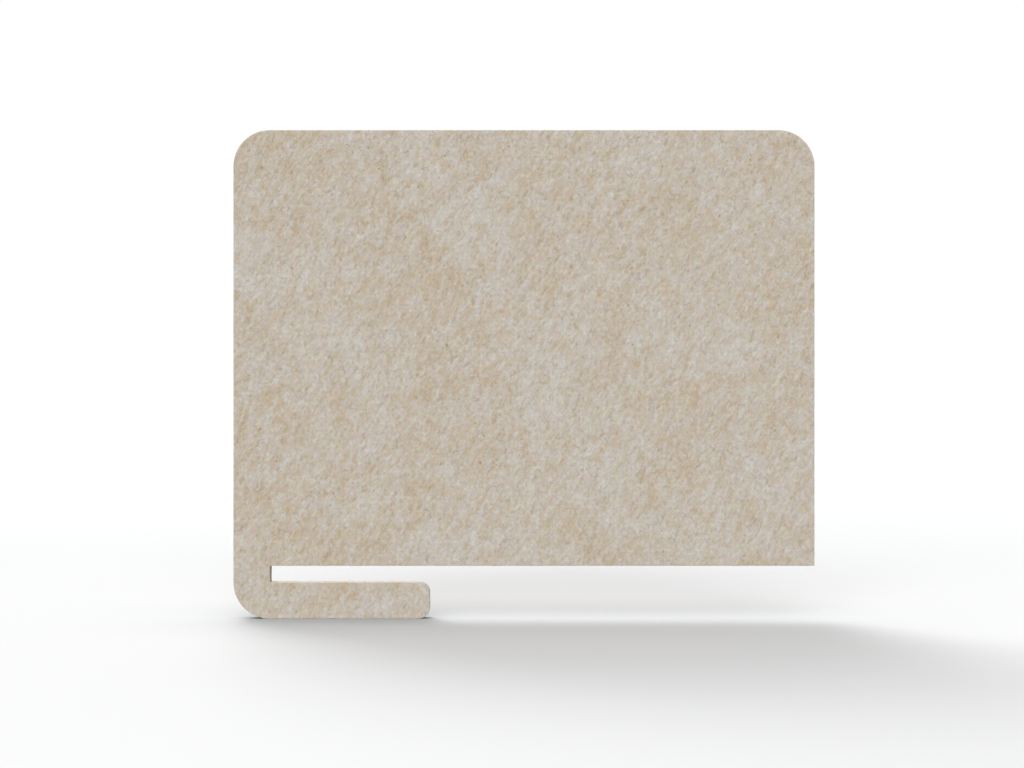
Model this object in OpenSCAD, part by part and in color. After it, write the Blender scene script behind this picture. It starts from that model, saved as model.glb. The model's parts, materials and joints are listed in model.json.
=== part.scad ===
// Acoustic desk divider: two felt boards bonded face to face and cut to one outline,
// with a slot in the lower edge that slides onto a desk top.
// Millimetres. The origin is at the slot's closed end, on the desk top's upper surface, in the
// middle of the thickness. +X runs along the slot to its mouth, +Z is up, and the front is -Y.

/* [Panel] */
// Width of the panel, from side to side
panel_w = 800; // [600:10:1600]
// Height of the panel above the desk top
panel_h = 600; // [300:10:900]
// Radius of the rounded corners of the panel and of the foot
corner_r = 50; // [10:1:60]

/* [Desk slot] */
// Height of the slot that takes the desk top
slot_h = 23; // [16:1:45]
// Depth of the slot, from its closed end to the tongue's tip
slot_depth = 220; // [120:5:400]
// Width of the neck between the slot's closed end and the side edge
neck_w = 50; // [40:1:120]

/* [Tongue] */
// Height of the tongue under the desk top
tongue_h = 50; // [40:1:120]
// Radius of the two corners at the tongue's tip
tip_r = 15; // [2:1:18]

/* [Lamination] */
// Thickness of the whole screen
screen_t = 24; // [16:1:50]
// Thickness of the adhesive web between the two boards
web_t = 0.3; // [0.1:0.05:0.6]

/* [Hidden] */
// Height from the tongue's base up to the desk top's upper surface
foot_drop = slot_h + tongue_h;
// Thickness of each felt board
board_t = (screen_t - web_t) / 2;
// Side edges, top edge and base of the outline
left_x = -neck_w;
right_x = panel_w - neck_w;
top_z = panel_h;
base_z = -foot_drop;
// Overrun of every cut past the edge that it opens
over = 1;
// Smoothness of the round corners
$fn = 96;

// What a round corner takes off a square one: the corner is at the origin, and the body lies
// towards sx and sy
module corner_waste(r, sx, sy) {
  difference() {
    translate([sx > 0 ? -over : -r, sy > 0 ? -over : -r])
      square(r + over);
    translate([sx * r, sy * r])
      circle(r);
  }
}

// Outline of the screen from the front, with the slot open at the tongue's tip
module screen_outline() {
  difference() {
    translate([left_x, base_z])
      square([panel_w, panel_h + foot_drop]);
    translate([0, -slot_h])
      square([right_x + over, slot_h]);
    translate([slot_depth, base_z - over])
      square([right_x - slot_depth + over, foot_drop + over]);
    translate([left_x, top_z])
      corner_waste(corner_r, 1, -1);
    translate([right_x, top_z])
      corner_waste(corner_r, -1, -1);
    translate([left_x, base_z])
      corner_waste(corner_r, 1, 1);
    translate([slot_depth, base_z])
      corner_waste(tip_r, -1, 1);
    translate([slot_depth, -slot_h])
      corner_waste(tip_r, -1, -1);
  }
}

// One upright layer of the screen, from its front face at front_y back through thickness t
module layer(front_y, t) {
  translate([0, front_y + t, 0])
    rotate([90, 0, 0])
      linear_extrude(t)
        screen_outline();
}

module front_felt_board() {
  color([0.76, 0.72, 0.67])
    layer(-screen_t / 2, board_t);
}

module bond_web() {
  color([0.88, 0.86, 0.80])
    layer(-web_t / 2, web_t);
}

module rear_felt_board() {
  color([0.76, 0.72, 0.67])
    layer(web_t / 2, board_t);
}

front_felt_board();
bond_web();
rear_felt_board();
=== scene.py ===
import json
import math

import bpy
import numpy as np
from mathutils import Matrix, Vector
from mathutils.geometry import delaunay_2d_cdt
from mathutils.kdtree import KDTree


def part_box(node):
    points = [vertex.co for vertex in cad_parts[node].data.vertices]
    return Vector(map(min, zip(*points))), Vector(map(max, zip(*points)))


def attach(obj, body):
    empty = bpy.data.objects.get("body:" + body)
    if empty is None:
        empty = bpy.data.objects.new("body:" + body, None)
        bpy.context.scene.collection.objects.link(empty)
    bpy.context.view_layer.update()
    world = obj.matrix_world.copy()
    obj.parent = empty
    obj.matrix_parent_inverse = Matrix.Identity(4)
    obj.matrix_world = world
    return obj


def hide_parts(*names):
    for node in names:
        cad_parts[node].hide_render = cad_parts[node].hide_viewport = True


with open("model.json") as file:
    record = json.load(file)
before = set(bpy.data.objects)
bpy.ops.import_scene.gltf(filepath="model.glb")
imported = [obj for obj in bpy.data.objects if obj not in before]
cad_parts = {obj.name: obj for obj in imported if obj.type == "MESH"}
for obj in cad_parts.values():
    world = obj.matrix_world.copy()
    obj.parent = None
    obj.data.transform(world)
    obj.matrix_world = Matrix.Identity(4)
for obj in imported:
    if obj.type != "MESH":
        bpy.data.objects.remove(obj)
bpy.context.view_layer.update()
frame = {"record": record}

# Lengths are in metres, in the part's own frame: +X along the slot, +Z up, front face towards -Y.
# Sizes within a material's pattern, and those of the camera's lens and sensor, are in millimetres.
MM = 0.001

# Driving sizes that the frame's boxes and mounts don't give
CORNER_R = 50 * MM
TIP_R = 15 * MM
SLOT_DEPTH = 220 * MM
# Radius that a knife leaves at the square corners of the outline
KNIFE_R = 1.2 * MM
# How far the loose fibre stands past the knife's line on the outer outline
SWELL = 0.25 * MM

# Sizes read from the frame
PLACES = {m["name"]: Vector(m["pos_m"]) for m in frame["record"]["mounts"]}
FRONT_LOW, FRONT_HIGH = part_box("front_felt_board")
REAR_LOW, REAR_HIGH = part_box("rear_felt_board")
LEFT, RIGHT = FRONT_LOW[0], FRONT_HIGH[0]
TOP, BASE = FRONT_HIGH[2], FRONT_LOW[2]
ROOF = PLACES["desk_top_seat"].z
TONGUE_TOP = PLACES["tongue_top"].z

# Pitch of the points on the outline, on the faces and across the cut edge
OUTLINE_PITCH = 2.6 * MM
FACE_PITCH = 2.7 * MM
EDGE_PITCH = 1.1 * MM
# How much of the face's pitch stays clear of its rim
CLEAR_SHARE = 0.6
# Fewest steps in a corner of the outline
CORNER_STEPS = 3

# Cut edge: the soft arris at the face and the pinched seam at the bond, each with the angles of its points
ARRIS_R = 0.9 * MM
ARRIS_ANGLES = (90, 60, 30, 0)
SEAM_W, SEAM_INSET = 0.9 * MM, 0.55 * MM
SEAM_ANGLES = (35, 65, 90)
# How far the fibre pattern sinks the faces, and how far it roughens the cut edge
FACE_RELIEF = 0.55 * MM
CUT_RELIEF = 0.35 * MM
# Height in the fibre pattern at which a face stays where it is
FACE_LEVEL = 0.5

# Adhesive web: how far inside the outline its flat faces end, and the share of its thickness at the rim
WEB_BACK = 1.6 * SEAM_INSET
WEB_RIM_SHARE = 0.6
# How far inside the outline its rim lies, and how far it wanders there
WEB_INSET, WEB_WANDER = 0.35 * MM, 0.06 * MM
# Passes that smooth the wander, and its cap
WANDER_PASSES, WANDER_CAP = 3, 3


# Nodes

def add(tree, kind, inputs=None, **settings):
    """Adds a node, sets its properties, then fills or links its inputs by name or index."""
    made = tree.nodes.new(kind)
    for key, value in settings.items():
        setattr(made, key, value)
    for key, value in (inputs or {}).items():
        if isinstance(value, bpy.types.NodeSocket):
            tree.links.new(value, made.inputs[key])
        else:
            made.inputs[key].default_value = value
    return made


def maths(tree, operation, a, b=0.0, c=0.0, clamp=False):
    inputs = {0: a, 1: b, 2: c}
    return add(tree, "ShaderNodeMath", inputs, operation=operation, use_clamp=clamp).outputs[0]


def summed(tree, start, parts):
    """A start plus every part's value times its weight."""
    for value, weight in parts:
        start = maths(tree, "MULTIPLY_ADD", value, weight, start)
    return start


def weighted(tree, parts):
    """Sum of every part's value, less a half, times its weight."""
    return summed(tree, -0.5 * sum(weight for _, weight in parts), parts)


def ramp(tree, value, slope, start):
    """Leaves zero at a start, by a slope, and stays between 0 and 1."""
    return maths(tree, "MULTIPLY_ADD", value, slope, -slope * start, clamp=True)


def blend(tree, share, a, b):
    return maths(tree, "MULTIPLY_ADD", share, maths(tree, "SUBTRACT", b, a), a)


def vectors(tree, operation, a, b):
    return add(tree, "ShaderNodeVectorMath", {0: a, 1: b}, operation=operation).outputs[0]


def scaled(tree, vector, factor):
    return add(tree, "ShaderNodeVectorMath", {0: vector, 3: factor}, operation="SCALE").outputs[0]


def axes(tree, vector):
    """The X, Y and Z of a vector, by name."""
    return add(tree, "ShaderNodeSeparateXYZ", {0: vector}).outputs


def mix_colour(tree, share, a, b):
    return add(tree, "ShaderNodeMix", {0: share, 6: a, 7: b}, data_type="RGBA").outputs[2]


def linear(colour):
    """A colour given as sRGB numbers from 0 to 255, in linear light, with full alpha."""
    parts = [c / 255 for c in colour]
    return (*(p / 12.92 if p <= 0.04045 else ((p + 0.055) / 1.055) ** 2.4 for p in parts), 1.0)


def noise_node(tree, place, size, seed, detail, rough=0.5):
    """Noise of one grain, or of a size along each axis."""
    sizes = size if isinstance(size, tuple) else (size, size, size)
    unit = vectors(tree, "DIVIDE", place, sizes)
    inputs = {"Vector": unit, "W": seed, "Scale": 1.0, "Detail": detail, "Roughness": rough}
    return add(tree, "ShaderNodeTexNoise", inputs, noise_dimensions="4D")


def noise(tree, place, size, seed, detail=1.0, rough=0.5):
    """Smooth noise from 0 to 1, about a half."""
    return noise_node(tree, place, size, seed, detail, rough).outputs[0]


def warped(tree, place, grain, reach, seed):
    """Bends a place by a smooth random shift, so that straight streaks curl as fibres do."""
    shift = noise_node(tree, place, grain, seed, detail=1.0).outputs["Color"]
    centred = vectors(tree, "SUBTRACT", shift, (0.5, 0.5, 0.5))
    return vectors(tree, "ADD", place, scaled(tree, centred, reach))


def off_middle(tree, value):
    """How far a noise is from its middle, either way."""
    return maths(tree, "ABSOLUTE", maths(tree, "SUBTRACT", value, 0.5))


def shader_place(tree):
    """The object's own place in millimetres."""
    return scaled(tree, add(tree, "ShaderNodeTexCoord").outputs["Object"], 1 / MM)


# Felt pattern

# Fibre directions in degrees from +X towards +Z, with how much each shows
MAIN_LAY = 66
FIBRE_LAYS = ((MAIN_LAY, 1.0), (90, 0.75), (44, 0.6), (125, 0.45))
# Length and width of a tuft of fibre and of the clumps that tufts make, and the finest grain
TUFT, CLUMP, GRAIN = (12.0, 4.4), (30.0, 8.0), 2.6
CLUMP_WEIGHT, GRAIN_WEIGHT = 0.9, 0.7
# How rough the noise is along a streak
STREAK_ROUGH = 0.55
# How far the pits between ridges sink, and how far they sink on average
PIT_DEPTH, PIT_MEAN = 2.4, 0.15
# Grain and reach of the curl in the tufts, and of the crinkle in their fibre
CURL, CRINKLE = (14.0, 5.0), (5.0, 3.2)

# Single light fibres: their directions, their length and width, and the grain and reach of their curl
STROKE_LAYS = (66, 88, 46)
STROKE, STROKE_CURL = (22.0, 6.5), (8.0, 6.0)
# How far a fibre reaches from the middle of its noise
STROKE_REACH = 0.1
# Gaps that end the fibres: their grain, and where and how fast the noise turns from gap to fibre
GAP, GAP_EDGE, GAP_SLOPE = 6.0, 0.5143, 7.0

# Cut edge: size of the web's layers and of the lumps that break them, and the weight of each
LAYER, LAYER_WEIGHT = (11.0, 0.9, 11.0), 1.3
LUMP, LUMP_WEIGHT = (3.2, 2.2, 3.2), 0.9


def streaks(tree, place, angle, length, width, seed):
    """Noise drawn out along one direction in the plane of the face."""
    turn = {"Vector": place, "Angle": math.radians(angle)}
    turned = add(tree, "ShaderNodeVectorRotate", turn, rotation_type="Y_AXIS").outputs[0]
    return noise(tree, turned, (length, width, width), seed, rough=STREAK_ROUGH)


def laid(tree, place):
    """Ridges of fibre with pits between them, one set for each way that the fibres are laid."""
    found = []
    for angle, weight in FIBRE_LAYS:
        off = off_middle(tree, streaks(tree, place, angle, *TUFT, seed=3.1 + angle))
        found.append((maths(tree, "MULTIPLY_ADD", off, -PIT_DEPTH, 0.5 + PIT_MEAN), weight))
    return found


def tufts(tree, place):
    """Height of the felt's surface: crossed streaks of fibre, mostly leaning one way. Zero on average."""
    bent = warped(tree, place, *CURL, seed=1.7)
    bent = warped(tree, bent, *CRINKLE, seed=2.9)
    clumps = streaks(tree, bent, MAIN_LAY, *CLUMP, seed=7.7)
    fine = noise(tree, bent, GRAIN, seed=12.9)
    return weighted(tree, laid(tree, bent) + [(clumps, CLUMP_WEIGHT), (fine, GRAIN_WEIGHT)])


def strokes(tree, place):
    """Light fibres: the lines where drawn-out noise crosses its middle, broken into lengths. From 0 to 1."""
    bent = warped(tree, place, *STROKE_CURL, seed=31.0)
    found = 0.0
    for angle in STROKE_LAYS:
        off = off_middle(tree, streaks(tree, bent, angle, *STROKE, seed=40.0 + angle))
        line = ramp(tree, off, -1 / STROKE_REACH, STROKE_REACH)
        gaps = noise(tree, place, GAP, seed=33.0 + angle, detail=0.0)
        line = maths(tree, "MULTIPLY", line, ramp(tree, gaps, GAP_SLOPE, GAP_EDGE))
        found = maths(tree, "MAXIMUM", found, line)
    return found


def strata(tree, place):
    """Layers of the carded web on a cut edge: fine lines along it, broken by lumps. Zero on average."""
    layers = noise(tree, place, LAYER, seed=5.3, detail=2.0, rough=0.6)
    lumps = noise(tree, place, LUMP, seed=8.9)
    return weighted(tree, ((layers, LAYER_WEIGHT), (lumps, LUMP_WEIGHT)))


# Felt looks

FELT_LIGHT = linear((200, 195.3, 188.4))
FELT_TAN = linear((190, 172.9, 148))
# Roughness of the felt and of its sheen
FELT_ROUGH, SHEEN_ROUGH = 0.95, 0.5
# Grain of each octave of the marbling, and its weight
MARBLE = ((170.0, 0.6), (80.0, 0.35), (34.0, 0.75), (14.0, 0.5))
# Streaked marbling: length and width of its tufts and their weight, then their direction
STREAK_MARBLE = (((22.0, 9.0), 1.3), ((10.0, 3.4), 0.9))
MARBLE_LAY = 63
# Grain and reach of the curl in it
MARBLE_CURL = (14.0, 5.0)
# How far tan gathers in spots on a greyer ground, and how tan the felt is on average
MARBLE_GATHER, MARBLE_MEAN = 0.4, 0.49
# How far the surface's height lightens the felt, by colour and by shade
HEIGHT_TAN, HEIGHT_SHADE = 0.12, 0.125
# How far a light fibre stands up, takes away tan and lightens
STROKE_HEIGHT, STROKE_TAN, STROKE_SHADE = 0.3, 0.15, 0.06
BUMP_DEPTH = 0.45 * MM
# Depth at which a pit starts to darken and how fast it does, and what that adds in tan and takes in shade
PIT_START, PIT_SLOPE = 0.28, 3.0
PIT_TAN, PIT_SHADE = 0.2, 0.02
# Brown specks: their grain, where and how fast the noise turns to brown, and what they take in shade
SPECK, SPECK_EDGE, SPECK_SLOPE = 7.0, 0.8, 12.0
SPECK_SHADE = 0.22
# Stray hue of the fibres: its grain and its strength
HUES = ((2.2, 0.14), (6.0, 0.1))
# Specular level and sheen, each of the faces and then of the cut edges
SPECULAR, SHEEN = (0.2, 0.0), (0.15, 0.35)
# Painted highlight on the upward-facing cut edges: how much lighter they are
UPWARD_EDGE_HIGHLIGHT = 0.22
# Painted shade on the cut edge that faces +X at the slot's closed end: how much darker the felt is there, and
# how far from the end that reaches
SLOT_END_PAINTED_SHADE, SLOT_END_SHADE_REACH = 0.32, 12.0

# Web: size of its clouds, its colours, its roughness and what that gains in a light cloud
WEB_CLOUD = (4.0, 0.4, 4.0)
WEB_DARK = linear((176, 164, 146))
WEB_LIGHT = linear((222, 214, 200))
WEB_ROUGH, WEB_ROUGH_GAIN = 0.35, 0.3


def new_material(name):
    material = bpy.data.materials.new(name)
    material.use_nodes = True
    tree = material.node_tree
    tree.nodes.clear()
    return material, tree


def finish_material(tree, kind, inputs):
    surface = add(tree, kind, inputs).outputs[0]
    add(tree, "ShaderNodeOutputMaterial", {"Surface": surface})


def marbling(tree, place):
    """Clouds and curled streaks of tan in the light fibre. Zero on average."""
    parts = [(noise(tree, place, grain, seed=11.0 + grain), weight) for grain, weight in MARBLE]
    bent = warped(tree, place, *MARBLE_CURL, seed=71.0)
    for size, weight in STREAK_MARBLE:
        parts.append((streaks(tree, bent, MARBLE_LAY, *size, seed=80.0 + size[0]), weight))
    return weighted(tree, parts)


def stray_hue(tree, place):
    """Colour of single fibres that strays from the mix, as a factor about one."""
    even = 1 - sum(strength for _, strength in HUES) / 2
    found = (even, even, even)
    for grain, strength in HUES:
        hue = noise_node(tree, place, grain, 51.0 + grain, detail=0.0).outputs["Color"]
        found = vectors(tree, "ADD", found, scaled(tree, hue, strength))
    return found


def painted_edge_light_and_shade(tree, place, edge):
    """Painted highlight on the upward-facing cut edges, and painted shade on the cut edge that faces +X near
    the slot's closed end.
    """
    facing = axes(tree, add(tree, "ShaderNodeNewGeometry").outputs["Normal"])
    upward_highlight = maths(tree, "MULTIPLY", edge, maths(tree, "MAXIMUM", facing["Z"], 0.0))
    right = maths(tree, "MULTIPLY", edge, maths(tree, "MAXIMUM", facing["X"], 0.0))
    closed = ramp(tree, axes(tree, place)["X"], -1 / SLOT_END_SHADE_REACH, SLOT_END_SHADE_REACH)
    return upward_highlight, maths(tree, "MULTIPLY", right, closed)


def felt_colour(tree, place, height, light, edge):
    """Marbled colour of the felt, tanner and darker in its pits and specks, with a painted highlight on the
    upward cut edges and painted shade at the slot's closed end.
    """
    pits = ramp(tree, height, -PIT_SLOPE, -PIT_START)
    specks = ramp(tree, noise(tree, place, SPECK, seed=91.0, detail=0.0), SPECK_SLOPE, SPECK_EDGE)
    upward_highlight, end = painted_edge_light_and_shade(tree, place, edge)
    marble = marbling(tree, place)
    gather = maths(tree, "MULTIPLY_ADD", marble, MARBLE_GATHER, 1.0)
    tan = maths(tree, "MULTIPLY_ADD", marble, gather, MARBLE_MEAN)
    tan = summed(tree, tan, ((light, -STROKE_TAN), (specks, 1.0), (pits, PIT_TAN), (height, -HEIGHT_TAN)))
    shade = summed(tree, 1.0, (
        (height, HEIGHT_SHADE), (light, STROKE_SHADE), (specks, -SPECK_SHADE), (pits, -PIT_SHADE),
        # Painted highlight on the upward cut edges, and painted shade at the slot's closed end
        (upward_highlight, UPWARD_EDGE_HIGHLIGHT), (end, -SLOT_END_PAINTED_SHADE),
    ))
    colour = mix_colour(tree, tan, FELT_LIGHT, FELT_TAN)
    return scaled(tree, vectors(tree, "MULTIPLY", colour, stray_hue(tree, place)), shade)


def felt_material(name):
    """Marbled pressed felt: light grey and tan fibre, streaked on the faces and layered at the cut edges."""
    material, tree = new_material(name)
    place = shader_place(tree)
    edge = add(tree, "ShaderNodeAttribute", attribute_name="cut").outputs["Fac"]
    light = strokes(tree, place)
    height = blend(tree, edge, tufts(tree, place), strata(tree, place))
    height = maths(tree, "MULTIPLY_ADD", light, STROKE_HEIGHT, height)
    bump = add(tree, "ShaderNodeBump", {"Height": height, "Distance": BUMP_DEPTH}).outputs[0]
    finish_material(tree, "ShaderNodeBsdfPrincipled", {
        "Base Color": felt_colour(tree, place, height, light, edge),
        "Roughness": FELT_ROUGH,
        "Specular IOR Level": blend(tree, edge, *SPECULAR),
        "Sheen Weight": blend(tree, edge, *SHEEN),
        "Sheen Roughness": SHEEN_ROUGH,
        "Normal": bump,
    })
    return material


def web_material():
    """Melted adhesive web: dull and cloudy, with darker starved spots."""
    material, tree = new_material("adhesive_web")
    clouds = noise(tree, shader_place(tree), WEB_CLOUD, seed=21.0, detail=2.0, rough=0.6)
    finish_material(tree, "ShaderNodeBsdfPrincipled", {
        "Base Color": mix_colour(tree, clouds, WEB_DARK, WEB_LIGHT),
        "Roughness": maths(tree, "MULTIPLY_ADD", clouds, WEB_ROUGH_GAIN, WEB_ROUGH),
    })
    return material


# Outline

def towards(start, end):
    return (end - start) / np.linalg.norm(end - start)


def corner_arc(corner, come, go, r):
    """Points round a square corner, which a path comes to one way and leaves another."""
    centre = corner - come * r + go * r
    steps = max(CORNER_STEPS, round(r * math.pi / 2 / OUTLINE_PITCH))
    turns = [math.pi / 2 * k / steps for k in range(steps + 1)]
    return [centre + r * (come * math.sin(turn) - go * math.cos(turn)) for turn in turns]


def rounded_outline(corners):
    """Points round a closed path of (x, z, radius) corners, with the outward normal at each. The path runs
    clockwise as seen from the front, every corner is square, and radii are cut as true arcs."""
    found = []
    for i, (x, z, r) in enumerate(corners):
        next_x, next_z, next_r = corners[(i + 1) % len(corners)]
        before, corner, after = np.array((corners[i - 1][:2], (x, z), (next_x, next_z)))
        go = towards(corner, after)
        found += corner_arc(corner, towards(before, corner), go, r)
        start, end = corner + go * r, after - go * next_r
        gaps = max(1, round(np.linalg.norm(end - start) / OUTLINE_PITCH))
        found += [start + (end - start) * k / gaps for k in range(1, gaps)]
    points = np.array(found)
    along = np.roll(points, -1, 0) - np.roll(points, 1, 0)
    along /= np.linalg.norm(along, axis=1)[:, None]
    return points, np.stack((-along[:, 1], along[:, 0]), 1)


def screen_outline():
    return rounded_outline((
        (0.0, TONGUE_TOP, KNIFE_R),
        (SLOT_DEPTH, TONGUE_TOP, TIP_R),
        (SLOT_DEPTH, BASE, TIP_R),
        (LEFT - SWELL, BASE, CORNER_R),
        (LEFT - SWELL, TOP + SWELL, CORNER_R),
        (RIGHT + SWELL, TOP + SWELL, CORNER_R),
        (RIGHT + SWELL, ROOF, KNIFE_R),
        (0.0, ROOF, KNIFE_R),
    ))


def distances(outline):
    """Distance round a closed outline to each of its points, and at last back to the first."""
    steps = np.linalg.norm(np.roll(outline, -1, 0) - outline, axis=1)
    return np.concatenate(((0.0,), steps.cumsum()))


def crossings(loop, z):
    """Where a closed loop crosses one height, from left to right."""
    ends = np.roll(loop, -1, 0)
    cut = (loop[:, 1] < z) != (ends[:, 1] < z)
    share = (z - loop[cut, 1]) / (ends[cut, 1] - loop[cut, 1])
    return np.sort(loop[cut, 0] + share * (ends[cut, 0] - loop[cut, 0]))


def lattice(loop):
    """A triangular lattice of points inside a loop, a little clear of it."""
    tree = KDTree(len(loop))
    for i, (x, z) in enumerate(loop):
        tree.insert((x, 0, z), i)
    tree.balance()
    row = FACE_PITCH * math.sqrt(3) / 2
    points = []
    for j, z in enumerate(np.arange(loop[:, 1].min() + row / 2, loop[:, 1].max(), row)):
        edges = crossings(loop, z)
        for start, end in zip(edges[::2], edges[1::2]):
            first = math.ceil(start / FACE_PITCH) + (j % 2) / 2
            points += [(x, z) for x in np.arange(first * FACE_PITCH, end, FACE_PITCH)]
    return np.array([p for p in points if tree.find((p[0], 0, p[1]))[2] > FACE_PITCH * CLEAR_SHARE])


def quads(rings, count):
    """Faces between closed rings of as many points each, one ring after the other."""
    starts = [k * count for k in range(rings)]
    return [
        (upper + i, upper + (i + 1) % count, lower + (i + 1) % count, lower + i)
        for upper, lower in zip(starts, starts[1:])
        for i in range(count)
    ]


def triangulated(loop, extra):
    """Faces that fill a loop through extra points, as indices: the loop's points first, then the extra."""
    inside_only, merge_reach = 1, 1e-6
    points = [Vector(p / MM) for p in loop] + [Vector(p / MM) for p in extra]
    ring = [(i, (i + 1) % len(loop)) for i in range(len(loop))]
    _, _, faces, origins, _, _ = delaunay_2d_cdt(points, ring, [], inside_only, merge_reach)
    same = [origin[0] for origin in origins]
    return [tuple(same[v] for v in face) for face in faces]


# Map of each board: the face fills the top, the cut edge lies in rows below it, and the face that the
# bond hides is small, in the bare corner beside the tongue
MAP_MARGIN = 0.008
MAP_SCALE = (1 - 2 * MAP_MARGIN) / (RIGHT - LEFT)
ROW_LENGTH = RIGHT - LEFT
ROW_HEIGHT = 0.021
ROW_SHARE = 0.99
HIDDEN_SHARE = 0.08
HIDDEN_LEFT = SLOT_DEPTH + 2 * TIP_R


def face_map(x, z):
    return MAP_MARGIN + (x - LEFT) * MAP_SCALE, 1 - MAP_MARGIN - (TOP - z) * MAP_SCALE


def hidden_map(x, z):
    return face_map(HIDDEN_LEFT + (x - LEFT) * HIDDEN_SHARE, BASE + (z - BASE) * HIDDEN_SHARE)


def edge_map(start, end, across):
    """Where two places on the cut edge lie, by their distance round the outline and over the profile. The
    row is chosen by the first, so that a face never straddles two rows."""
    row = int(start // ROW_LENGTH)
    v = MAP_MARGIN + row * ROW_HEIGHT + across * MAP_SCALE
    return [(MAP_MARGIN + (a - row * ROW_LENGTH) * MAP_SCALE * ROW_SHARE, v) for a in (start, end)]


# Felt boards

def board_profile(thickness):
    """The cut edge's profile from the face to the bond, as (inset from the outline, depth under the face)."""
    rounds = [
        (ARRIS_R * (1 - math.cos(math.radians(a))), ARRIS_R * (1 - math.sin(math.radians(a))))
        for a in ARRIS_ANGLES
    ]
    flat = thickness - SEAM_W - ARRIS_R
    rows = max(1, round(flat / EDGE_PITCH))
    cut = [(0.0, ARRIS_R + flat * k / rows) for k in range(1, rows + 1)]
    seam = [
        (SEAM_INSET * (1 - math.cos(math.radians(a))), thickness - SEAM_W * (1 - math.sin(math.radians(a))))
        for a in SEAM_ANGLES
    ]
    return rounds + cut + seam


def board_plan(thickness):
    """What the two boards share: the outline's rings down the cut edge, and how both faces are filled."""
    outline, outward = screen_outline()
    profile = board_profile(thickness)
    rings = [outline - outward * inset for inset, _ in profile]
    grid = lattice(rings[0])
    return outline, profile, rings, grid, triangulated(rings[0], grid), triangulated(rings[-1], [])


def cut_maps(outline, profile):
    """Where the corners of each quad of the cut edge lie on the map."""
    along = distances(outline)
    across = np.concatenate(((0.0,), np.cumsum([math.dist(a, b) for a, b in zip(profile, profile[1:])])))
    return [
        edge_map(start, end, upper) + edge_map(start, end, lower)[::-1]
        for upper, lower in zip(across, across[1:])
        for start, end in zip(along, along[1:])
    ]


def cut_shares(profile, count, inner):
    """How far each point is on the cut edge: growing round the arris, whole after it, and nil inside."""
    arris = [1 - math.sin(math.radians(a)) for a in ARRIS_ANGLES]
    shares = arris + [1.0] * (len(profile) - len(arris))
    return [share for share in shares for _ in range(count)] + [0.0] * inner


def new_mesh(name, verts, faces, **values):
    """A smooth mesh, with a value for each of its points under each name given."""
    mesh = bpy.data.meshes.new(name)
    mesh.from_pydata(verts, [], faces)
    for key, numbers in values.items():
        attribute = mesh.attributes.new(key, "FLOAT", "POINT")
        attribute.data.foreach_set("value", np.array(numbers, np.float32))
    mesh.polygons.foreach_set("use_smooth", np.ones(len(faces), bool))
    mesh.update()
    return mesh


def board_mesh(name, outer_y, inner_y, plan):
    """One felt board: a fine lattice on its open face, a layered cut edge, and a plain bonded face."""
    outline, profile, rings, grid, open_face, hidden_face = plan
    count = len(outline)
    inwards = 1 if inner_y > outer_y else -1
    verts = [
        (x, outer_y + inwards * depth, z) for ring, (_, depth) in zip(rings, profile) for x, z in ring
    ]
    first_grid, last_ring = len(verts), len(verts) - count
    verts += [(x, outer_y, z) for x, z in grid]

    faces = [[v if v < count else v - count + first_grid for v in tri] for tri in open_face]
    maps = [[face_map(verts[v][0], verts[v][2]) for v in face] for face in faces]
    hidden = [[last_ring + v for v in tri][::-1] for tri in hidden_face]
    faces += quads(len(rings), count) + hidden
    maps += cut_maps(outline, profile)
    maps += [[hidden_map(verts[v][0], verts[v][2]) for v in face] for face in hidden]
    if inwards < 0:
        faces = [f[::-1] for f in faces]
        maps = [m[::-1] for m in maps]

    mesh = new_mesh(name, verts, faces, cut=cut_shares(profile, count, len(grid)))
    layer = mesh.uv_layers.new(name="OFBake")
    layer.uv.foreach_set("vector", np.array([p for m in maps for p in m], np.float32).ravel())
    return mesh


def relief_group():
    """Geometry nodes that sink the faces by the fibre pattern that colours them, and roughen the cut edge."""
    group = bpy.data.node_groups.new("felt_relief", "GeometryNodeTree")
    group.interface.new_socket("Geometry", in_out="INPUT", socket_type="NodeSocketGeometry")
    group.interface.new_socket("Geometry", in_out="OUTPUT", socket_type="NodeSocketGeometry")
    came = add(group, "NodeGroupInput").outputs[0]
    place = scaled(group, add(group, "GeometryNodeInputPosition").outputs[0], 1 / MM)
    edge = add(group, "GeometryNodeInputNamedAttribute", {"Name": "cut"}, data_type="FLOAT").outputs[0]
    face = maths(group, "MULTIPLY_ADD", tufts(group, place), FACE_RELIEF, -FACE_LEVEL * FACE_RELIEF)
    face = maths(group, "MINIMUM", face, 0.0)
    cut = maths(group, "MULTIPLY", strata(group, place), CUT_RELIEF)
    normal = add(group, "GeometryNodeInputNormal").outputs[0]
    offset = scaled(group, normal, blend(group, edge, face, cut))
    moved = add(group, "GeometryNodeSetPosition", {"Geometry": came, "Offset": offset}).outputs[0]
    add(group, "NodeGroupOutput", {0: moved})
    return group


def new_object(name, data):
    made = bpy.data.objects.new(name, data)
    bpy.context.scene.collection.objects.link(made)
    return made


def new_piece(mesh, material, slot, *nodes):
    """A piece of the screen's one body, which stands in for nodes of the part."""
    piece = new_object(mesh.name, mesh)
    mesh.materials.append(material)
    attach(piece, "root")
    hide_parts(*nodes)
    return piece


def settle(piece):
    """Makes a piece's modifiers part of its mesh."""
    graph = bpy.context.evaluated_depsgraph_get()
    mesh = bpy.data.meshes.new_from_object(piece.evaluated_get(graph))
    piece.modifiers.clear()
    piece.data = mesh


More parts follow.
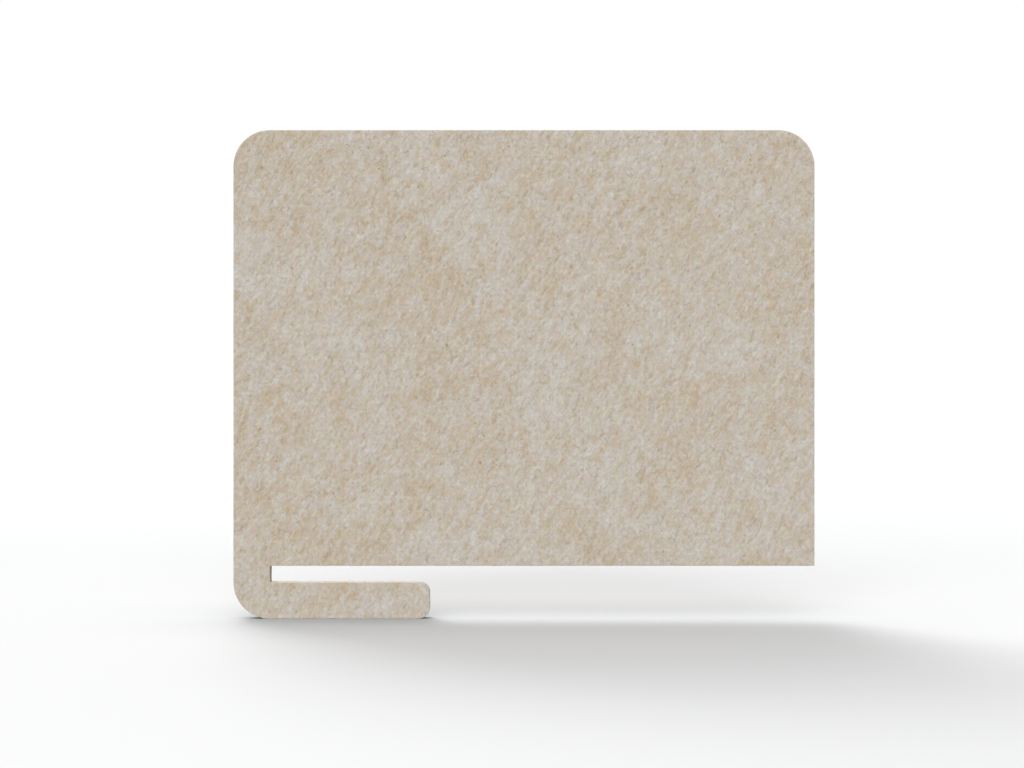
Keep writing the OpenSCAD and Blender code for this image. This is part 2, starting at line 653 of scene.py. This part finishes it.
def felt_boards():
    relief = relief_group()
    plan = board_plan(FRONT_HIGH[1] - FRONT_LOW[1])
    for name, node, slot, outer_y, inner_y in (
        ("front_felt", "front_felt_board", "felt_front", FRONT_LOW[1], FRONT_HIGH[1]),
        ("rear_felt", "rear_felt_board", "felt_rear", REAR_HIGH[1], REAR_LOW[1]),
    ):
        piece = new_piece(board_mesh(name, outer_y, inner_y, plan), felt_material(slot), slot, node)
        piece.modifiers.new("relief", "NODES").node_group = relief
        settle(piece)


# Adhesive web

def wandering(count, seed):
    """Smooth random numbers about zero, one for each point of a closed ring."""
    wander = np.random.default_rng(seed).normal(0, 1, count)
    for _ in range(WANDER_PASSES):
        wander = (np.roll(wander, 1) + wander + np.roll(wander, -1)) / 2
    return wander.clip(-WANDER_CAP, WANDER_CAP)


def web_mesh(name, half_t):
    """A thin sheet whose rim wanders in the seam between the boards."""
    outline, outward = screen_outline()
    count = len(outline)
    rim = outline - outward * (WEB_INSET + WEB_WANDER * wandering(count, seed=7))[:, None]
    back = outline - outward * WEB_BACK
    rim_half = half_t * WEB_RIM_SHARE
    rings = ((back, -half_t), (rim, -rim_half), (rim, rim_half), (back, half_t))
    verts = [(x, y, z) for ring, y in rings for x, z in ring]
    caps = triangulated(back, [])
    last_ring = len(verts) - count
    far_caps = [tuple(last_ring + v for v in face)[::-1] for face in caps]
    mesh = bpy.data.meshes.new(name)
    mesh.from_pydata(verts, [], quads(len(rings), count) + caps + far_caps)
    return mesh


def adhesive_web():
    new_piece(web_mesh("adhesive_web", REAR_LOW[1]), web_material(), "adhesive_web", "bond_web")


# Stray fibres

# How many are drawn on a face and on the cut edge, before the ones that leave it are dropped
FACE_FIBRES, EDGE_FIBRES = 5250, 3600
# Their shortest and longest, then their thinnest and thickest
FACE_FIBRE_LENGTH = (5 * MM, 15 * MM)
EDGE_FIBRE_LENGTH = (2.5 * MM, 7 * MM)
FIBRE_GIRTH = (0.08 * MM, 0.17 * MM)
# How far their middles lift and their ends sink, and the power that flattens the arch between
FIBRE_LIFT, FIBRE_ROOT = (0.01 * MM, 0.11 * MM), 0.45 * MM
ARCH_POWER = 0.45
# In how many steps each bends, and the spread of its bend and of the curl at each step, in radians
FIBRE_STEPS = 6
FIBRE_BEND, FIBRE_CURL = 0.5, 0.35
# Spread of their angle on a face and on the cut edge, in radians
FACE_STRAY, EDGE_STRAY = 0.3, 0.42
# How far they keep from the rim of a face, and from both arrises on the cut edge
RIM_CLEAR, ARRIS_CLEAR = 1.5 * MM, 0.9 * MM
# Angles of a fibre's three corners in degrees, and how far into its taper it starts, in radians
FIBRE_CORNERS = (90, 210, 330)
FIBRE_END = 0.25
# Tones: the two shapes of their spread, the share that is dark, and the tone of that share
TONE_SPREAD, DARK_SHARE, DARK_TONE = (1.2, 2.2), 0.005, 1.6
# Tone at which dark starts, and how fast it comes
DARK_START, DARK_SLOPE = 1.2, 3.0
# Grain of the drift in tone along a fibre, and its weight
DRIFT, DRIFT_WEIGHT = 2.0, 0.5
FIBRE_ROUGH, FIBRE_ROUGH_GAIN, FIBRE_SPECULAR = 0.65, 0.2, 0.3
FIBRE_LIGHT = linear((214, 211, 204))
FIBRE_TAN = linear((196, 170, 138))
FIBRE_DARK = linear((112, 94, 76))


def inside(points, loop):
    """Which (x, z) points lie inside a closed loop."""
    x, z = points[:, :1], points[:, 1:]
    ends = np.roll(loop, -1, 0)
    spans = (loop[:, 1] <= z) != (ends[:, 1] <= z)
    rise = np.where(ends[:, 1] == loop[:, 1], 1.0, ends[:, 1] - loop[:, 1])
    left = x < loop[:, 0] + (z - loop[:, 1]) * (ends[:, 0] - loop[:, 0]) / rise
    return (spans & left).sum(1) % 2 == 1


def curled(rng, start, angle, length):
    """Flat paths of (count, steps, 2) that start at places, set off at angles and bend as they go."""
    count = len(start)
    bend = rng.normal(0, FIBRE_BEND, count)
    curl = rng.normal(0, FIBRE_CURL, (count, FIBRE_STEPS)).cumsum(1)
    steps = angle[:, None] + bend[:, None] * np.linspace(-1, 1, FIBRE_STEPS) + curl
    way = np.stack((np.cos(steps), np.sin(steps)), 2) * (length / FIBRE_STEPS)[:, None, None]
    return start[:, None] + np.concatenate((np.zeros((count, 1, 2)), way.cumsum(1)), 1)


def arched(rng, count):
    """How far each step of a fibre stands over the surface: rooted at both ends, lifted between."""
    rise = np.sin(np.linspace(0, math.pi, FIBRE_STEPS + 1))
    lift = rng.uniform(*FIBRE_LIFT, count)
    return -FIBRE_ROOT + (lift + FIBRE_ROOT)[:, None] * rise ** ARCH_POWER


def fibre_rings(paths, outward, girth):
    """Rings of three points round each path, all but at its ends."""
    along = np.gradient(paths, axis=1)
    along /= np.linalg.norm(along, axis=2)[:, :, None]
    side = np.cross(along, outward)
    side /= np.linalg.norm(side, axis=2)[:, :, None]
    up = np.cross(side, along)
    rings = []
    for turn in map(math.radians, FIBRE_CORNERS):
        rings.append(paths + (side * math.cos(turn) + up * math.sin(turn)) * girth[:, :, None])
    return np.stack(rings, 2)[:, 1:-1]


def fibre_faces(rings):
    """Triangles of one fibre with this many rings of three, whose two points follow the rings."""
    sides = ((0, 1), (1, 2), (2, 0))
    faces = []
    for k in range(0, 3 * (rings - 1), 3):
        for a, b in sides:
            faces += [(k + a, k + b, k + 3 + b), (k + a, k + 3 + b, k + 3 + a)]
    last = 3 * (rings - 1)
    for a, b in sides:
        faces += [(3 * rings, b, a), (3 * rings + 1, last + a, last + b)]
    return np.array(faces)


def fibre_mesh(name, paths, outward, tones, rng):
    """Closed, three-sided fibres along paths of (count, steps, 3), pointed at both ends. Each has a tone."""
    count, steps = paths.shape[:2]
    taper = np.sin(np.linspace(FIBRE_END, math.pi - FIBRE_END, steps)) ** 0.5
    rings = fibre_rings(paths, outward, rng.uniform(*FIBRE_GIRTH, count)[:, None] * taper)
    verts = np.concatenate((rings.reshape(count, -1, 3), paths[:, (0, -1)]), 1)
    each = verts.shape[1]
    faces = (fibre_faces(steps - 2)[None] + (np.arange(count) * each)[:, None, None]).reshape(-1, 3)
    return new_mesh(name, verts.reshape(-1, 3), faces.tolist(), tone=np.repeat(tones, each))


def fibre_tones(rng, count):
    """From light at 0 to tan at 1, and a few dark ones past 1."""
    tones = rng.beta(*TONE_SPREAD, count)
    return np.where(rng.random(count) < DARK_SHARE, DARK_TONE, tones)


def face_fibres(name, outer_y, seed):
    """Fibres that lie over one open face, in the directions of the felt's own."""
    rng = np.random.default_rng(seed)
    outline, outward = screen_outline()
    loop = outline - outward * RIM_CLEAR
    away = -1 if outer_y < 0 else 1
    start = rng.uniform(loop.min(0), loop.max(0), (FACE_FIBRES, 2))
    lays, odds = np.array(FIBRE_LAYS).T
    angle = rng.choice(np.radians(lays), FACE_FIBRES, p=odds / odds.sum())
    angle += rng.normal(0, FACE_STRAY, FACE_FIBRES)
    flat = curled(rng, start, angle, rng.uniform(*FACE_FIBRE_LENGTH, FACE_FIBRES))
    flat = flat[inside(flat.reshape(-1, 2), loop).reshape(FACE_FIBRES, -1).all(1)]
    height = outer_y + away * arched(rng, len(flat))
    paths = np.stack((flat[:, :, 0], height, flat[:, :, 1]), 2)
    return fibre_mesh(name, paths, np.array((0.0, away, 0.0)), fibre_tones(rng, len(flat)), rng)


def edge_fibres(name, seed):
    """Fibres that lie over the cut edge, round the whole outline and across the thickness."""
    rng = np.random.default_rng(seed)
    outline, outward = screen_outline()
    along = distances(outline)
    half = REAR_HIGH[1] - ARRIS_CLEAR
    start = np.stack((rng.uniform(0, along[-1], EDGE_FIBRES), rng.uniform(-half, half, EDGE_FIBRES)), 1)
    angle = rng.choice((0.0, math.pi), EDGE_FIBRES) + rng.normal(0, EDGE_STRAY, EDGE_FIBRES)
    flat = curled(rng, start, angle, rng.uniform(*EDGE_FIBRE_LENGTH, EDGE_FIBRES))
    flat = flat[(np.abs(flat[:, :, 1]) < half).all(1)]
    where = flat[:, :, 0] % along[-1]
    closed = [np.append(values, values[0]) for values in (*outline.T, *outward.T)]
    xs, zs, nx, nz = [np.interp(where, along, values) for values in closed]
    lift = arched(rng, len(flat))
    paths = np.stack((xs + nx * lift, flat[:, :, 1], zs + nz * lift), 2)
    normals = np.stack((nx, np.zeros_like(nx), nz), 2)
    return fibre_mesh(name, paths, normals, fibre_tones(rng, len(flat)), rng)


def fibre_material():
    """Single polyester fibres: light grey to tan, with a few dark brown ones."""
    material, tree = new_material("felt_fibres")
    tone = add(tree, "ShaderNodeAttribute", attribute_name="tone").outputs["Fac"]
    drift = noise(tree, shader_place(tree), DRIFT, seed=61.0)
    mixed = maths(tree, "ADD", tone, weighted(tree, ((drift, DRIFT_WEIGHT),)))
    colour = mix_colour(tree, mixed, FIBRE_LIGHT, FIBRE_TAN)
    dark = ramp(tree, tone, DARK_SLOPE, DARK_START)
    finish_material(tree, "ShaderNodeBsdfPrincipled", {
        "Base Color": mix_colour(tree, dark, colour, FIBRE_DARK),
        "Roughness": maths(tree, "MULTIPLY_ADD", drift, FIBRE_ROUGH_GAIN, FIBRE_ROUGH),
        "Specular IOR Level": FIBRE_SPECULAR,
    })
    return material


def stray_fibres():
    material = fibre_material()
    front = face_fibres("front_fibres", FRONT_LOW[1], seed=3)
    rear = face_fibres("rear_fibres", REAR_HIGH[1], seed=4)
    edge = edge_fibres("edge_fibres", seed=5)
    new_piece(front, material, "felt_front", "front_felt_board")
    new_piece(rear, material, "felt_rear", "rear_felt_board")
    new_piece(edge, material, "felt_front", "front_felt_board", "rear_felt_board")


# Studio

# Camera, as the photograph was taken: level, square to the panel and far off
CAMERA_PLACE = (333.5 * MM, -2988 * MM, 250.4 * MM)
# Focal length and sensor, in millimetres as on the lens, and how far off it still sees
CAMERA_LENS = 75.96
CAMERA_SENSOR = 36.0
CAMERA_REACH = 200.0

# Light: a plain studio sky, three soft lamps behind that make one tall light, and a softer one in front
# Strength of the sky all round, and what it gains straight up and towards +X
SKY_EVEN, SKY_UP, SKY_SIDE = 0.605, 0.04, -0.1
# Each lamp's strength, the angle that it spans, its height and its turn from straight behind, in degrees
LAMPS = {
    "back_low": (1.37, 33, 28, 21.7),
    "back_high": (0.7, 33, 46, 21.7),
    "back_side": (0.47, 33, 37.3, 8),
    "front": (1.73, 50, 25, 174),
}
WHITE = (1.0, 1.0, 1.0, 1.0)
# Floor: how wide it is, how white, its tint, and the light that it gives back to the object
FLOOR_SIZE = 120.0
FLOOR_WHITE = 0.743
FLOOR_TINT = (0.996, 1.0, 1.006, 1.0)
FLOOR_GLOW = 0.35
# Where the floor starts to whiten behind, over what distance, and how much
FAR_START, FAR_SPAN, FAR_LIFT = 1.0, 2.2, 0.05
# Painted contact shade in the floor's colour, found by ambient occlusion: how far it reaches round what
# stands on the floor, how much it darkens, and how much more close to the contact
CONTACT_REACH, CONTACT_SHADE, CONTACT_CORE = 0.3, 0.5, 0.45
# How sharply that gathers at the contact, and the samples that find it
CONTACT_POWER, CONTACT_SAMPLES = 3.0, 6
# Tint of the floor's painted shade, a painted cool cast that takes back the warm light that the felt throws
# on it
SHADE_TINT = (0.955, 1.0, 1.05, 1.0)


def studio_sky():
    """A white background to the camera, and a plain soft light to the object."""
    world = bpy.data.worlds.new("studio")
    bpy.context.scene.world = world
    world.use_nodes = True
    tree = world.node_tree
    tree.nodes.clear()
    way = axes(tree, add(tree, "ShaderNodeTexCoord").outputs["Generated"])
    strength = summed(tree, SKY_EVEN, ((way["Z"], SKY_UP), (way["X"], SKY_SIDE)))
    lit = add(tree, "ShaderNodeBackground", {"Color": WHITE, "Strength": strength}).outputs[0]
    seen = add(tree, "ShaderNodeBackground", {"Color": WHITE, "Strength": 1.0}).outputs[0]
    rays = add(tree, "ShaderNodeLightPath").outputs
    white = maths(tree, "MAXIMUM", rays["Is Camera Ray"], rays["Is Glossy Ray"])
    white = maths(tree, "MAXIMUM", white, rays["Is Transmission Ray"])
    mixed = add(tree, "ShaderNodeMixShader", {0: white, 1: lit, 2: seen}).outputs[0]
    add(tree, "ShaderNodeOutputWorld", {"Surface": mixed})


def soft_lamp(name, strength, span, height, turn):
    """A lamp as far off as the sun, at a height and a turn in degrees."""
    lamp = bpy.data.lights.new(name, "SUN")
    lamp.energy = strength
    lamp.angle = math.radians(span)
    height, turn = math.radians(height), math.radians(turn)
    level = math.cos(height)
    away = Vector((-math.sin(turn) * level, math.cos(turn) * level, math.sin(height)))
    new_object(name, lamp).rotation_euler = away.to_track_quat("Z", "Y").to_euler()


def floor_colour(tree):
    """White, a little whiter far behind, and with painted shade: darker and cooler where something stands
    close over it.
    """
    contact = {"Distance": CONTACT_REACH}
    open_share = add(tree, "ShaderNodeAmbientOcclusion", contact, samples=CONTACT_SAMPLES).outputs["AO"]
    shut = maths(tree, "SUBTRACT", 1.0, open_share)
    core = maths(tree, "POWER", shut, CONTACT_POWER)
    share = summed(tree, 1.0, ((shut, -CONTACT_SHADE), (core, -CONTACT_CORE)))
    back = axes(tree, add(tree, "ShaderNodeNewGeometry").outputs["Position"])["Y"]
    far = ramp(tree, back, 1 / FAR_SPAN, FAR_START)
    white = maths(tree, "MULTIPLY_ADD", far, FLOOR_WHITE * FAR_LIFT, FLOOR_WHITE)
    tint = mix_colour(tree, open_share, SHADE_TINT, FLOOR_TINT)
    return scaled(tree, tint, maths(tree, "MULTIPLY", white, share))


def floor_material():
    """A white floor to the camera; to the object, an even soft glow."""
    material, tree = new_material("studio_floor")
    seen = add(tree, "ShaderNodeBsdfDiffuse", {"Color": floor_colour(tree)}).outputs[0]
    glow = add(tree, "ShaderNodeEmission", {"Color": WHITE, "Strength": FLOOR_GLOW}).outputs[0]
    camera = add(tree, "ShaderNodeLightPath").outputs["Is Camera Ray"]
    finish_material(tree, "ShaderNodeMixShader", {0: camera, 1: glow, 2: seen})
    material.cycles.emission_sampling = "NONE"
    return material


def studio_floor():
    reach = FLOOR_SIZE / 2
    mesh = bpy.data.meshes.new("studio_floor")
    corners = [(x * reach, y * reach, BASE) for x, y in ((-1, -1), (1, -1), (1, 1), (-1, 1))]
    mesh.from_pydata(corners, [], [(0, 1, 2, 3)])
    mesh.materials.append(floor_material())
    new_object("studio_floor", mesh)


def photo_camera():
    camera = bpy.data.cameras.new("photo_camera")
    camera.sensor_width = CAMERA_SENSOR
    camera.lens = CAMERA_LENS
    camera.clip_end = CAMERA_REACH
    made = new_object("photo_camera", camera)
    made.location = CAMERA_PLACE
    made.rotation_euler = (math.pi / 2, 0, 0)
    bpy.context.scene.camera = made


photo_camera()
bpy.context.scene.view_settings.view_transform = "Standard"
studio_sky()
for name, lamp in LAMPS.items():
    soft_lamp(name, *lamp)
studio_floor()
felt_boards()
adhesive_web()
stray_fibres()
